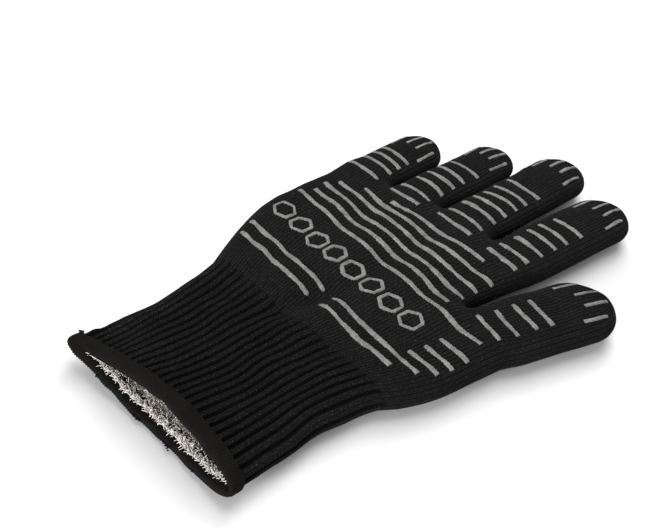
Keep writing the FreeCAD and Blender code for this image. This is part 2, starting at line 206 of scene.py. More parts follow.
class Skin:
    """A knitted surface: points, four-sided faces, and for each point its wale and its course."""

    def __init__(self, cell, step, inset):
        self.cell = cell
        self.around = 2 * (HAND_CELLS + SIDE_CELLS) * cell
        self.step = step
        self.inset = inset
        self.chunks = []
        self.marks = []
        self.count = 0
        self.faces = []
        self.coordinates = []
        self.tags = []

    def add(self, places, wale, course):
        numbers = numbered(places, self.count)
        self.chunks.append(places.reshape(-1, 3))
        marks = [np.broadcast_to(mark, places.shape[:-1]).ravel() for mark in (wale, course)]
        self.marks.append(np.stack(marks, axis=1))
        self.count += numbers.size
        return numbers

    def weave(self, grid, first_course, tags):
        """Faces between the rows of a grid of point numbers, closed round each row."""
        rows, columns = grid.shape
        u = np.arange(columns, dtype=float)
        v = first_course + np.arange(rows - 1, dtype=float)
        low = np.stack(np.broadcast_arrays(u[None, :], v[:, None]), axis=-1)
        steps = np.array([(0, 0), (1, 0), (1, 1), (0, 1)], float)
        self.faces.append(faces_round(grid))
        self.coordinates.append((low[:, :, None, :] + steps).reshape(-1, 4, 2))
        self.tags.append(np.repeat(tags, columns))

    def close_tip(self, ring, first_course, tag):
        """Sew a small last ring shut, front to back."""
        order = np.roll(ring, SIDE_CELLS * self.cell // 2)
        half = len(ring) // 2
        front = order[: half + 1]
        back = np.concatenate([order[:1], order[half:][::-1]])
        quads = np.stack([front[:-1], front[1:], back[1:], back[:-1]], axis=-1)
        quads[0] = (front[0], front[1], back[1], back[1])
        quads[-1] = (front[-2], front[-1], back[-2], back[-2])
        self.faces.append(quads)
        self.coordinates.append(np.full((len(quads), 4, 2), float(first_course)))
        self.tags.append(np.full(len(quads), tag))

    def seal(self):
        self.places = np.concatenate(self.chunks)
        self.marks = np.concatenate(self.marks)
        self.faces = np.concatenate(self.faces)
        self.coordinates = np.concatenate(self.coordinates)
        self.tags = np.concatenate(self.tags)


# ---- Tubes of the skin ----
SEGMENTS = [(name, segment) for name in DIGITS for segment in ("base", "tip")]
BODIES = ["palm", "cuff"] + ["%s_%s" % segment for segment in SEGMENTS]
PALM_TAG = BODIES.index("palm")
CUFF_TAG = BODIES.index("cuff")


def digit_tag(name, segment):
    return BODIES.index("%s_%s" % (name, segment))


def pull_in(points, amount, side):
    """A side line moved towards the middle of the hand."""
    moved = np.array(points, float)
    moved[:, 0] += amount * side
    return moved


def side_arc(skin, plan_edge, outward, half, middle, radius, depth, opened, downward):
    """The points round one side of a row of rings, between its faces' boundary columns."""
    count = SIDE_CELLS * skin.cell
    widest = np.arccos(np.clip(1 - depth / radius, -1.0, 1.0))[:, None]
    turn = widest * (1 - 2 * np.arange(1, count) / count)
    turn = turn if downward else turn[:, ::-1]
    reach = (opened * radius)[:, None] * (np.cos(turn) - np.cos(widest))
    plan = plan_edge[:, None, :] + outward[:, None, :] * reach[:, :, None]
    level = middle[:, None] + half[:, None] * np.sin(turn) / np.sin(widest)
    return np.concatenate([plan, level[:, :, None]], axis=2)


def ring_rows(skin, plan, front, back, radius, depth, open_right=1.0):
    """Whole rings from the plan places of one face and the heights of both faces."""
    radius = np.broadcast_to(radius, len(plan))
    depth = np.broadcast_to(depth, len(plan))
    open_right = np.broadcast_to(open_right, len(plan))
    across = unit(plan[:, -1] - plan[:, 0])
    top = np.concatenate([plan, front[:, :, None]], axis=2)
    under = np.concatenate([plan, back[:, :, None]], axis=2)[:, ::-1]
    sides = []
    ends = ((-1, across, open_right, True), (0, -across, np.ones(len(plan)), False))
    for column, way, opened, downward in ends:
        half = (front[:, column] - back[:, column]) / 2
        middle = (front[:, column] + back[:, column]) / 2
        edge = plan[:, column]
        sides.append(side_arc(skin, edge, way, half, middle, radius, depth, opened, downward))
    return np.concatenate([top, sides[0], under, sides[1]], axis=1)


def patch(bottom, top, left, right):
    """Plan places that fill the space between four side lines."""
    rows = np.linspace(0.0, 1.0, len(left))[:, None, None]
    columns = np.linspace(0.0, 1.0, len(bottom))[None, :, None]
    straight = (1 - rows) * bottom[None] + rows * top[None]
    first = left[:, None] - ((1 - rows) * bottom[0] + rows * top[0])
    last = right[:, None] - ((1 - rows) * bottom[-1] + rows * top[-1])
    return straight + (1 - columns) * first + columns * last


def line_of(points, counts):
    """Places along a line of straight runs, with the given number of steps in each run."""
    parts = []
    for start, end, count in zip(points, points[1:], counts):
        share = np.linspace(0.0, 1.0, count, endpoint=False)[:, None]
        parts.append(np.array(start) * (1 - share) + np.array(end) * share)
    parts.append(np.array(points[-1], float)[None])
    return np.concatenate(parts)


def face_levels(plan, inset, radius, depth, open_right=1.0):
    """Heights of both faces: level in the middle and rounded down towards each side."""
    top, bottom = levels(plan[:, :, 1], inset)
    middle = (top + bottom) / 2
    radius = np.broadcast_to(radius, len(plan))[:, None]
    from_left = depth + np.linalg.norm(plan - plan[:, :1], axis=2)
    from_right = depth + np.linalg.norm(plan - plan[:, -1:], axis=2)
    left = crown(from_left, radius)
    right = crown(from_right, radius)
    right = 1 - (1 - right) * np.broadcast_to(open_right, len(plan))[:, None]
    shape = np.minimum(left, right)
    return middle + (top - middle) * shape, middle - (middle - bottom) * shape


MOUTH_SHAPING = (-159.0, -118.0)        # places along the hand: shaped wholly, and not at all
LIP_HEIGHTS = (6.0, 15.0)       # wholly the lower lip, and wholly the upper lip
MOUTH_MIDDLE = 6.0
MOUTH_HALF = 50.0
UPPER_LIP_LIFT = 4.4
UPPER_LIP_DROP = 1.6            # at the left end
LOWER_LIP_LIFT = 5.0            # at the left end, where the two lips meet
LOWER_LIP_OUT = 2.4
UPPER_LIP_BACK = 3.6            # behind the lower lip
LEFT_END = 60.0
LEFT_END_OUT = 5.5


def open_mouth(rings):
    """Lifts the upper lip, sets it back, and pinches the mouth's left end shut and pulls it out."""
    near = 1 - smoothstep(rings[:, :, 1], *MOUTH_SHAPING)
    across = rings[:, :, 0]
    upper = smoothstep(rings[:, :, 2], *LIP_HEIGHTS)
    wide = np.clip(1 - ((across - MOUTH_MIDDLE) / MOUTH_HALF) ** 2, 0.0, 1.0)
    left = smoothstep(-across, 4.0, MOUTH_HALF)
    lift = upper * (UPPER_LIP_LIFT * wide - UPPER_LIP_DROP * left) + (1 - upper) * LOWER_LIP_LIFT * left
    rings[:, :, 2] += near ** 1.5 * lift
    pulled_out = near * LEFT_END_OUT * np.clip(-across / LEFT_END, 0.0, 1.0)
    rings[:, :, 1] += near ** 2 * (UPPER_LIP_BACK * upper - LOWER_LIP_OUT) - pulled_out
    return rings


def cuff_radius(along):
    """Roundness of the cuff's sides, which grows towards the mouth."""
    return EDGE_RADIUS + CUFF_ROUNDING_GAIN * smoothstep(-along, *CUFF_ROUNDING) ** 1.2


def make_cuff_rows(skin):
    """The ribbed cuff, from its mouth up to the wrist line."""
    mouth = MOUTH_LINE + skin.inset * 0.5
    rows = int(round((WRIST_LINE - mouth) / skin.step / 2)) * 2
    along = np.linspace(mouth, WRIST_LINE, rows + 1)
    radius = cuff_radius(along)
    sides = []
    for points, side in ((CUFF_LEFT, 1), (CUFF_RIGHT, -1)):
        line = curve(points, 400)
        across = np.interp(along, line[:, 1], line[:, 0])
        sides.append(across + side * (skin.inset + EDGE_DEPTH))
    share = np.linspace(0.0, 1.0, HAND_CELLS * skin.cell + 1)
    across = sides[0][:, None] * (1 - share) + sides[1][:, None] * share
    plan = np.stack([across, np.broadcast_to(along[:, None], across.shape)], axis=2)
    front, back = face_levels(plan, skin.inset, radius, EDGE_DEPTH)
    return open_mouth(ring_rows(skin, plan, front, back, radius, EDGE_DEPTH))


def make_lower_palm(skin, wrist_plan, rows):
    """From the wrist line to the thumb's crotch, with the thumb's seat on the right."""
    pull = skin.inset + EDGE_DEPTH
    left = curve(pull_in(PALM_LEFT, pull, 1), rows)
    right = curve(pull_in(PALM_RIGHT, pull, -1), rows)
    crotch = np.array(CROTCHES["thumb"]) - skin.inset
    palm_columns = (HAND_CELLS - THUMB_CELLS) * skin.cell
    top = line_of((left[-1], crotch, right[-1]), (palm_columns, THUMB_CELLS * skin.cell))
    plan = patch(wrist_plan, top, left, right)
    front, back = face_levels(plan, skin.inset, EDGE_RADIUS, EDGE_DEPTH)
    return ring_rows(skin, plan, front, back, EDGE_RADIUS, EDGE_DEPTH)


def make_upper_palm(skin, seat_plan, rows):
    """From the thumb's crotch to the fingers' roots."""
    height = np.arange(rows + 1) * skin.step
    opened = smoothstep(height, 0.0, 16.0)
    pull = skin.inset + EDGE_DEPTH
    left = curve(pull_in(UPPER_LEFT, pull, 1), rows)
    right = curve(UPPER_RIGHT, rows)
    right[:, 0] -= EDGE_DEPTH * opened + skin.inset
    crotches = [np.array(CROTCHES[name]) - (0.0, skin.inset) for name in ("ring", "middle", "index")]
    top = line_of((left[-1], *crotches, right[-1]), (FINGER_CELLS * skin.cell,) * 4)
    plan = patch(seat_plan, top, left, right)
    front, back = face_levels(plan, skin.inset, EDGE_RADIUS, EDGE_DEPTH, opened)
    return ring_rows(skin, plan, front, back, EDGE_RADIUS, EDGE_DEPTH, opened)


def digit_ring(skin, name, cells, distance, half_wide, half_thick):
    """One ring per distance along a digit, in the object's frame."""
    root, ahead = root_fold(name)
    across = np.array([ahead[1], -ahead[0]])
    roundness = np.minimum(half_wide * 0.98, DIGITS[name][1] - skin.inset)
    boundary = half_wide - CORNER_SHARE * roundness
    share = np.linspace(-1.0, 1.0, cells * skin.cell + 1)
    sideways = boundary[:, None] * share
    centre = root + distance[:, None] * ahead
    plan = centre[:, None, :] + sideways[:, :, None] * across
    shape = crown(half_wide[:, None] - np.abs(sideways), roundness[:, None]) * half_thick[:, None]
    middle = (HAND_TOP + HAND_BOTTOM) / 2
    return ring_rows(skin, plan, middle + shape, middle - shape, roundness, CORNER_SHARE * roundness)


def make_digit(skin, name, cells, root_ring):
    """A digit's rings after its root ring, which it leaves smoothly, up to its small last ring."""
    root, ahead = root_fold(name)
    start = float(((root_ring[:, :2] - root) @ ahead).mean())
    half = DIGITS[name][0] / 2 - skin.inset
    thick = (HAND_TOP - HAND_BOTTOM) / 2 - skin.inset
    reach = digit_reach(name) - skin.inset
    shoulder = reach - half
    straight = int(round((shoulder - start) / skin.step / 2)) * 2
    turning = int(round(half * math.pi / 2 / skin.step / 2)) * 2
    angle = np.linspace(0.0, math.radians(TIP_TURN), turning + 1)[1:]
    distance = np.concatenate([np.linspace(start, shoulder, straight + 1), shoulder + half * np.sin(angle)])
    narrowing = np.concatenate([np.ones(straight + 1), np.cos(angle)])
    half_wide = half * narrowing
    half_thick = thick * narrowing ** TIP_THINNING
    rings = digit_ring(skin, name, cells, distance, half_wide, half_thick)
    leaving = 1 - smoothstep(distance - start, 0.0, ROOT_REACH)
    rings = rings + leaving[:, None, None] * (root_ring - rings[0])
    return rings[1:], distance


def crotch_points(skin, top, bottom):
    """The web between two tubes: points straight down from the front face to the back face."""
    share = np.arange(1, SIDE_CELLS * skin.cell)[:, None] / (SIDE_CELLS * skin.cell)
    return top * (1 - share) + bottom * share


def far_from_crotches(places):
    """For each crotch, how far every place is from it, seen from above."""
    spots = CROTCHES.values()
    return [np.hypot(places[..., 0] - across, places[..., 1] - along) for across, along in spots]


def pinch(places):
    """The cloth is thinner at each crotch, where front and back are knitted together."""
    for far in far_from_crotches(places):
        thinner = 1 - PINCH_SHARE * np.exp(-((far / PINCH_REACH) ** 2))
        places[..., 2] = MIDDLE_LEVEL + (places[..., 2] - MIDDLE_LEVEL) * thinner
    return places


def build_skin(grain, inset):
    """A whole seamless skin: the cuff, the palm up to the crotches, and the five digits."""
    cell, step = grain
    skin = Skin(cell, step, inset)
    side = SIDE_CELLS * cell
    hand = HAND_CELLS * cell
    palm = (HAND_CELLS - THUMB_CELLS) * cell
    wales = np.arange(skin.around) % QUADS_PER_RIB

    cuff = make_cuff_rows(skin)
    courses = np.arange(len(cuff))
    cuff_ids = skin.add(cuff, wales, courses[:, None])
    wrist_rows = int(round((CROTCHES["thumb"][1] - WRIST_LINE) / step / 2)) * 2
    lower = make_lower_palm(skin, cuff[-1, : hand + 1, :2], wrist_rows)
    course = len(cuff) - 1
    lower_ids = skin.add(pinch(lower[1:]), wales, (course + 1 + np.arange(wrist_rows))[:, None])
    lower_grid = np.vstack([cuff_ids[-1:], lower_ids])
    split = int(round((CUFF_SPLIT - WRIST_LINE) / step))
    skin.weave(cuff_ids, 0, np.full(len(cuff) - 1, CUFF_TAG))
    tags = np.where(np.arange(wrist_rows) < split, CUFF_TAG, PALM_TAG)
    skin.weave(lower_grid, course, tags)
    course += wrist_rows

    seat = lower_grid[-1]
    seat_places = lower[-1]
    under = hand + side
    back_start = under + hand - palm
    web = crotch_points(skin, seat_places[palm], seat_places[back_start])
    web_ids = skin.add(web, wales[1:side], course)
    thumb_grid_root = np.concatenate([seat[palm : back_start + 1], web_ids[::-1]])
    upper_root = np.concatenate([seat[: palm + 1], web_ids, seat[back_start:]])
    thumb_places = np.concatenate([seat_places[palm : back_start + 1], web[::-1]])

    upper_rows = int(round(UPPER_PALM_LONG / step / 2)) * 2
    upper = make_upper_palm(skin, seat_places[: palm + 1, :2], upper_rows)
    upper_wales = np.arange(2 * (palm + side)) % QUADS_PER_RIB
    upper_ids = skin.add(pinch(upper[1:]), upper_wales, (course + 1 + np.arange(upper_rows))[:, None])
    skin.weave(np.vstack([upper_root[None], upper_ids]), course, np.full(upper_rows, PALM_TAG))
    add_digit(skin, "thumb", THUMB_CELLS, thumb_grid_root, thumb_places, course)
    course += upper_rows

    roots = upper_ids[-1]
    root_places = upper[-1]
    finger = FINGER_CELLS * cell
    left_ids = roots[2 * palm + side + 1 :]
    left_places = root_places[2 * palm + side + 1 :]
    for index, name in enumerate(FINGERS):
        first = index * finger
        last = first + finger
        back_last = palm + side + palm - last
        back_first = palm + side + palm - first
        if index < len(FINGERS) - 1:
            web = crotch_points(skin, root_places[last], root_places[back_last])
            web_ids = skin.add(web, wales[1:side], course)
        else:
            web = root_places[palm + 1 : palm + side]
            web_ids = roots[palm + 1 : palm + side]
        front = slice(first, last + 1)
        back = slice(back_last, back_first + 1)
        ring_ids = np.concatenate([roots[front], web_ids, roots[back], left_ids])
        ring = np.concatenate([root_places[front], web, root_places[back], left_places])
        add_digit(skin, name, FINGER_CELLS, ring_ids, ring, course)
        left_ids = web_ids[::-1]
        left_places = web[::-1]
    skin.seal()
    return skin


def add_digit(skin, name, cells, root_ids, root_places, course):
    rings, distance = make_digit(skin, name, cells, root_places)
    wales = np.arange(rings.shape[1]) % QUADS_PER_RIB
    ids = skin.add(pinch(rings), wales, (course + 1 + np.arange(len(rings)))[:, None])
    split = DIGITS[name][2]
    tags = np.where(distance[1:] <= split, digit_tag(name, "base"), digit_tag(name, "tip"))
    skin.weave(np.vstack([root_ids[None], ids]), course, tags)
    skin.close_tip(ids[-1], course + len(rings), digit_tag(name, "tip"))


# ---- Finishing a skin: smoothing, creases, relief ----
def point_normals(places, faces):
    across = places[faces[:, 2]] - places[faces[:, 0]]
    along = places[faces[:, 3]] - places[faces[:, 1]]
    face_normals = np.cross(across, along)
    total = np.zeros_like(places)
    for corner in range(4):
        for axis in range(3):
            total[:, axis] += np.bincount(faces[:, corner], face_normals[:, axis], len(places))
    return total / np.maximum(np.linalg.norm(total, axis=1), 1e-12)[:, None]


def smooth_crotches(skin, rounds):
    """Relaxes the cloth near each crotch, by moving each point towards its neighbours' middle."""
    places = skin.places
    weight = np.zeros(len(places))
    for far in far_from_crotches(places):
        weight = np.maximum(weight, np.exp(-((far / RELAX_REACH) ** 2)))
    faces = skin.faces
    pairs = np.concatenate([faces[:, (0, 1)], faces[:, (3, 0)]])
    chosen = weight > 0.02
    near = pairs[chosen[pairs[:, 0]] | chosen[pairs[:, 1]]]
    near = np.concatenate([near, near[:, ::-1]])
    near = np.unique(near[near[:, 0] != near[:, 1]], axis=0)
    used, local = np.unique(near, return_inverse=True)
    local = local.reshape(near.shape)
    spots = places[used]
    pull = weight[used][:, None] * 0.7
    degree = np.maximum(np.bincount(local[:, 0], minlength=len(used)), 1)[:, None]
    for _ in range(rounds):
        total = np.stack(
            [np.bincount(local[:, 0], spots[local[:, 1], axis], len(used)) for axis in range(3)], axis=1
        )
        step = total / degree - spots
        spots = spots + step * np.where(chosen[used][:, None], pull, 0.0)
    places[used] = spots


# Soft troughs in the palm's face: middle x, middle y, direction, half length, half width, depth.
CREASES = (
    (-12, -60, 78, 27, 7.0, 5.0),
    (24, -66, 70, 22, 6.0, 1.8),
    (-46, -60, 96, 24, 6.0, 2.2),
    (-46, 6, 92, 46, 10.0, 2.5),
    (-10, 12, 88, 48, 9.0, 2.6),
    (24, 8, 84, 44, 9.0, 2.2),
    (-68, -20, 100, 40, 9.0, 1.7),
    (46, -22, 74, 34, 8.0, 1.8),
    (-78, 56, 2, 14, 4.0, 0.8),
    (-44, 62, 0, 13, 4.0, 0.8),
    (-9, 66, -3, 14, 4.0, 0.9),
    (30, 64, -6, 14, 4.0, 0.8),
    (-43, 97, 0, 13, 4.0, 1.0),
    (-8, 109, -2, 14, 4.0, 1.1),
    (33, 99, -6, 14, 4.0, 1.0),
    (62, 9, -17, 16, 4.5, 1.0),
    (71, 38, -17, 16, 4.5, 1.0),
)


def crease_depth(places):
    """How far the creases press the upper face in at each place."""
    sunk = np.zeros(len(places))
    for across, along, direction, half_long, half_wide, deep in CREASES:
        turn = math.radians(direction)
        far_x = places[:, 0] - across
        far_y = places[:, 1] - along
        run = far_x * math.cos(turn) + far_y * math.sin(turn)
        aside = far_y * math.cos(turn) - far_x * math.sin(turn)
        sunk += deep * np.exp(-((run / half_long) ** 2) - (aside / half_wide) ** 2)
    return sunk


def crease(skin, normals):
    """Presses the creases into the upper face and lets the cloth swell gently elsewhere."""
    places = skin.places
    upward = np.clip(normals[:, 2], 0.0, 1.0)
    swell = soft_noise(places, 34.0, 11) * 0.45 + soft_noise(places, 15.0, 12) * 0.16
    moved = np.minimum(swell, 0.25) - 0.15
    sunk = crease_depth(places) * upward
    skin.places = places + normals * (moved * (0.35 + 0.65 * upward) - sunk)[:, None]


# Height of the cloth across one wale of the hand, and across one rib of the cuff.
JERSEY = np.array([-0.42, 0.12, 0.04, 0.12])
RIB = np.array([-0.35, 0.55, 0.92, 0.78, 0.66, 0.78, 0.92, 0.55, -0.35, -0.95, -1.10, -0.95])
RIB_DEPTH = 0.95
RIB_START = (-84.0, -66.0)      # the cuff's ribs fade into the hand's wales between these
JERSEY_STITCH = 0.08            # height of each stitch above its wale
RIB_STITCH = 0.04


def relief(skin, normals):
    """Raises wales and stitches on the hand, and deep ribs on the cuff."""
    places = skin.places
    wale = skin.marks[:, 0].astype(int)
    course = skin.marks[:, 1]
    ribbed = 1 - smoothstep(places[:, 1], *RIB_START)
    stitch = np.where(course % 2 == 0, 1.0, -1.0) * np.where(wale % 2 == 0, 1.0, -1.0)
    jersey = JERSEY[wale % QUADS_PER_WALE] + JERSEY_STITCH * stitch
    depth = RIB_DEPTH * (1 + 0.18 * soft_noise(places, 22.0, 5))
    rib = RIB[wale] * depth + RIB_STITCH * stitch
    raised = jersey * (1 - ribbed) + rib * ribbed
    calm = np.ones(len(places))
    for far in far_from_crotches(places):
        calm = np.minimum(calm, 0.45 + 0.55 * smoothstep(far, 2.0, 9.0))
    fade = 1 - 0.85 * skin.tip_share
    wander = soft_noise(places, 26.0, 7) * 0.5 * ribbed
    moved = places + normals * (raised * calm * fade)[:, None]
    moved[:, 0] += wander
    return moved


def tip_shares(skin):
    """How far each point is into the last few millimetres of a digit, from 0 to 1."""
    share = np.zeros(len(skin.places))
    for name in DIGITS:
        root, ahead = root_fold(name)
        along = (skin.places[:, :2] - root) @ ahead
        aside = np.abs((skin.places[:, :2] - root) @ np.array([ahead[1], -ahead[0]]))
        reach = digit_reach(name)
        near = smoothstep(along, reach - 4.0, reach) * (aside < 24.0) * (along < reach + 4.0)
        share = np.maximum(share, near)
    return share


# ---- Meshes ----
def make_object(name, places, faces, coordinates=None, normals=None):
    """A smooth mesh object from millimetre points and four-sided faces; a face that repeats its
    last corner is a triangle."""
    corners = np.ones(faces.shape, bool)
    corners[:, 3] = faces[:, 3] != faces[:, 2]
    sizes = corners.sum(axis=1)
    mesh = bpy.data.meshes.new(name)
    mesh.vertices.add(len(places))
    mesh.vertices.foreach_set("co", (places * MM).astype(np.float32).ravel())
    mesh.loops.add(int(sizes.sum()))
    mesh.loops.foreach_set("vertex_index", faces[corners].astype(np.int32))
    mesh.polygons.add(len(faces))
    mesh.polygons.foreach_set("loop_start", np.concatenate([[0], np.cumsum(sizes)[:-1]]).astype(np.int32))
    mesh.polygons.foreach_set("use_smooth", np.ones(len(faces), bool))
    mesh.update(calc_edges=True)
    if coordinates is not None:
        layer = mesh.uv_layers.new(name="stitches")
        layer.data.foreach_set("uv", coordinates[corners].astype(np.float32).ravel())
    if normals is not None:
        mesh.normals_split_custom_set_from_vertices(normals.tolist())
    made = bpy.data.objects.new(name, mesh)
    bpy.context.scene.collection.objects.link(made)
    return made


def cut_piece(name, skin, places, normals, tag):
    """One piece of a skin as an object of its own."""
    chosen = skin.tags == tag
    used, faces = np.unique(skin.faces[chosen], return_inverse=True)
    faces = faces.reshape(-1, 4)
    scaled = skin.coordinates[chosen] / (QUADS_PER_WALE, 2.0)
    return make_object(name, places[used], faces, scaled, normals[used])


def paint(piece, material):
    piece.data.materials.append(material)


def attach(piece, body):
    """Rides the palm, or for any other body has its placement baked into its points."""
    if body == "palm":
        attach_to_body(piece, "palm")
    elif body == "cuff":
        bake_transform(piece)
    else:
        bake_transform(piece)


# ---- Materials ----
class Nodes:
    """Short names for building one material's node tree."""

    def __init__(self, name):
        self.material = bpy.data.materials.new(name)
        self.material.use_nodes = True
        self.tree = self.material.node_tree
        self.shader = self.tree.nodes["Principled BSDF"]

    def link(self, source, target):
        self.tree.links.new(source, target)

    def put(self, socket, value):
        if isinstance(value, bpy.types.NodeSocket):
            self.link(value, socket)
        else:
            socket.default_value = value

    def math(self, operation, first, second=0.0, third=0.0):
        node = self.tree.nodes.new("ShaderNodeMath")
        node.operation = operation
        for socket, value in zip(node.inputs, (first, second, third)):
            self.put(socket, value)
        return node.outputs[0]

    def stitches(self):
        """The wale and the course at each place, counted in stitches."""
        node = self.tree.nodes.new("ShaderNodeUVMap")
        node.uv_map = "stitches"
        split = self.tree.nodes.new("ShaderNodeSeparateXYZ")
        self.link(node.outputs[0], split.inputs[0])
        return split.outputs[0], split.outputs[1]

    def noise(self, scale, detail=2.0, roughness=0.5):
        place = self.tree.nodes.new("ShaderNodeTexCoord")
        node = self.tree.nodes.new("ShaderNodeTexNoise")
        self.link(place.outputs["Object"], node.inputs["Vector"])
        node.inputs["Scale"].default_value = scale
        node.inputs["Detail"].default_value = detail
        node.inputs["Roughness"].default_value = roughness
        return node.outputs["Fac"]

    def mix(self, share, first, second):
        node = self.tree.nodes.new("ShaderNodeMix")
        node.data_type = "RGBA"
        self.put(node.inputs["Factor"], share)
        self.put(node.inputs["A"], first)
        self.put(node.inputs["B"], second)
        return node.outputs["Result"]

    def spread(self, value, low, high):
        node = self.tree.nodes.new("ShaderNodeMapRange")
        self.put(node.inputs["Value"], value)
        node.inputs["From Min"].default_value = low
        node.inputs["From Max"].default_value = high
        return node.outputs[0]

    def bump(self, height, distance, strength=1.0, before=None):
        node = self.tree.nodes.new("ShaderNodeBump")
        node.inputs["Distance"].default_value = distance
        node.inputs["Strength"].default_value = strength
        self.put(node.inputs["Height"], height)
        if before is not None:
            self.link(before, node.inputs["Normal"])
        return node.outputs[0]

    def finish(self, colour, roughness, normal, sheen=0.0, sheen_colour=(1.0, 1.0, 1.0, 1.0), gloss=0.25):
        self.put(self.shader.inputs["Base Color"], colour)
        self.put(self.shader.inputs["Roughness"], roughness)
        self.put(self.shader.inputs["Sheen Weight"], sheen)
        self.put(self.shader.inputs["Sheen Tint"], sheen_colour)
        self.shader.inputs["Sheen Roughness"].default_value = 0.45
        self.shader.inputs["Specular IOR Level"].default_value = gloss
        if normal is not None:
            self.link(normal, self.shader.inputs["Normal"])
        return self.material


def chevrons(nodes):
    """Height of the two slanted legs of each stitch, and a mask of the grooves between the wales, where
    shade is painted.
    """
    wale, course = nodes.stitches()
    within = nodes.math("FRACT", wale)
    aside = nodes.math("ABSOLUTE", nodes.math("MULTIPLY_ADD", within, 2.0, -1.0))
    slanted = nodes.math("MULTIPLY_ADD", aside, 0.55, course)
    wave = nodes.math("SINE", nodes.math("MULTIPLY", slanted, math.tau))
    leg = nodes.math("SINE", nodes.math("MULTIPLY", aside, math.pi))
    stitch = nodes.math("MULTIPLY", nodes.math("MULTIPLY_ADD", wave, 0.5, 0.5), leg)
    return stitch, nodes.spread(aside, 0.62, 0.98), wale


def knit_material(name, dark, light, bump_depth, ribbed):
    """Black spun aramid yarn: stitches, fuzz, yarn that varies a little from place to place, and painted
    shade in hollows.
    """
    nodes = Nodes(name)
    stitch, groove, wale = chevrons(nodes)
    fuzz = nodes.noise(2600.0, 3.0, 0.7)
    patchy = nodes.noise(60.0, 3.0)
    # Tone varies at random with the patchy noise. It is lighter on the raised legs of each stitch and
    # darker between them, as painted shade.
    share = nodes.math("MULTIPLY_ADD", patchy, 0.5, nodes.math("MULTIPLY", stitch, 0.5))
    colour = nodes.mix(share, dark, light)
    speck = nodes.spread(nodes.noise(1300.0, 2.0, 0.6), 0.55, 0.72)
    colour = nodes.mix(nodes.math("MULTIPLY", speck, 0.6), colour, (0.065, 0.063, 0.062, 1.0))
    # Painted shade: the grooves between the wales, and on the cuff the valleys between its ribs, are
    # darkened towards near black.
    painted_groove_shade = nodes.math("MULTIPLY", groove, 0.75)
    if ribbed:
        turn = nodes.math("FRACT", nodes.math("MULTIPLY_ADD", wale, 1 / WALES_PER_RIB, 2 / 3))
        from_valley = nodes.math("ABSOLUTE", nodes.math("ADD", turn, -0.5))
        valley = nodes.math("MULTIPLY_ADD", nodes.spread(from_valley, 0.12, 0.24), -1.0, 1.0)
        painted_groove_shade = nodes.math("MAXIMUM", painted_groove_shade, nodes.math("MULTIPLY", valley, 0.92))
    # The near-black colour here is painted shade, not the yarn's own colour.
    colour = nodes.mix(painted_groove_shade, colour, (0.0015, 0.0015, 0.0015, 1.0))
    normal = nodes.bump(stitch, bump_depth)
    normal = nodes.bump(fuzz, 0.00018, 0.8, normal)
    return nodes.finish(colour, 0.9, normal, 0.012, (0.75, 0.76, 0.8, 1.0), 0.07)


def terry_material():
    """Cream looped cotton, slightly warm, and darker between the loops as painted shade."""
    nodes = Nodes("terry_cotton")
    loops = nodes.noise(900.0, 3.0, 0.6)
    warm = nodes.noise(120.0, 2.0)
    # Painted shade: the colour darkens where the loops' noise is low, which is where their bump sinks
    # between the loops.
    colour = nodes.mix(nodes.spread(loops, 0.3, 0.7), (0.66, 0.63, 0.59, 1.0), (0.90, 0.88, 0.85, 1.0))
    colour = nodes.mix(nodes.math("MULTIPLY", warm, 0.25), colour, (0.70, 0.60, 0.49, 1.0))
    normal = nodes.bump(loops, 0.0006)
    return nodes.finish(colour, 0.9, normal, 0.25)


def thread_material():
    """Dark brown-black overlock thread, nearly matt."""
    nodes = Nodes("overlock_wrap")
    fine = nodes.noise(1800.0, 2.0, 0.6)
    patchy = nodes.noise(150.0, 2.0)
    colour = nodes.mix(patchy, (0.0028, 0.0026, 0.0024, 1.0), (0.0085, 0.0078, 0.007, 1.0))
    normal = nodes.bump(fine, 0.00012, 0.7)
    return nodes.finish(colour, 0.8, normal, 0.01, (0.8, 0.78, 0.74, 1.0), 0.06)


def silicone_material():
    """Grey printed silicone: matte, slightly blotchy, with a fine grain."""
    nodes = Nodes("silicone_print")
    grain = nodes.noise(1500.0, 3.0, 0.65)
    blotch = nodes.noise(170.0, 3.0, 0.6)
    colour = nodes.mix(nodes.spread(blotch, 0.3, 0.7), (0.15, 0.15, 0.145, 1.0), (0.29, 0.29, 0.275, 1.0))
    worn = nodes.spread(grain, 0.38, 0.56)
    colour = nodes.mix(nodes.math("MULTIPLY_ADD", worn, -0.6, 0.6), colour, (0.035, 0.035, 0.034, 1.0))
    normal = nodes.bump(grain, 0.00018)
    return nodes.finish(colour, 0.7, normal)


def floor_material():
    """Pale paper, barely uneven."""
    nodes = Nodes("paper_floor")
    grain = nodes.noise(30.0, 2.0)
    colour = nodes.mix(grain, (0.86, 0.86, 0.865, 1.0), (0.88, 0.88, 0.885, 1.0))
    return nodes.finish(colour, 0.8, None)


# ---- Knit and lining ----
TUBE_ROWS = 60
# The two points of the crotch line that each digit's root runs between.
ROOT_CORNERS = {
    "pinky": (UPPER_LEFT[-1], CROTCHES["ring"]),
    "ring": (CROTCHES["ring"], CROTCHES["middle"]),
    "middle": (CROTCHES["middle"], CROTCHES["index"]),
    "index": (CROTCHES["index"], UPPER_RIGHT[-1]),
    "thumb": (CROTCHES["thumb"], PALM_RIGHT[-1]),
}


def section_girth(width, radius, thick):
    """Distance round a tube that is level in its middle and half an ellipse at each side."""
    high = thick / 2
    sides = math.pi * (3 * (radius + high) - np.sqrt((3 * radius + high) * (radius + 3 * high)))
    return 2 * (width - 2 * radius) + sides


def hand_cloth(left, right, low, high, radius_at, inset):
    """Mean girth and length of the palm's or the cuff's tube; its cloth is that rectangle."""
    along = np.linspace(low, high, TUBE_ROWS)
    left = np.interp(along, *np.array(left, float).T[::-1])
    right = np.interp(along, *np.array(right, float).T[::-1])
    top, bottom = levels(along, inset)
    girths = section_girth(right - left - 2 * inset, radius_at(along), top - bottom)
    return girths.mean(), high - low, None


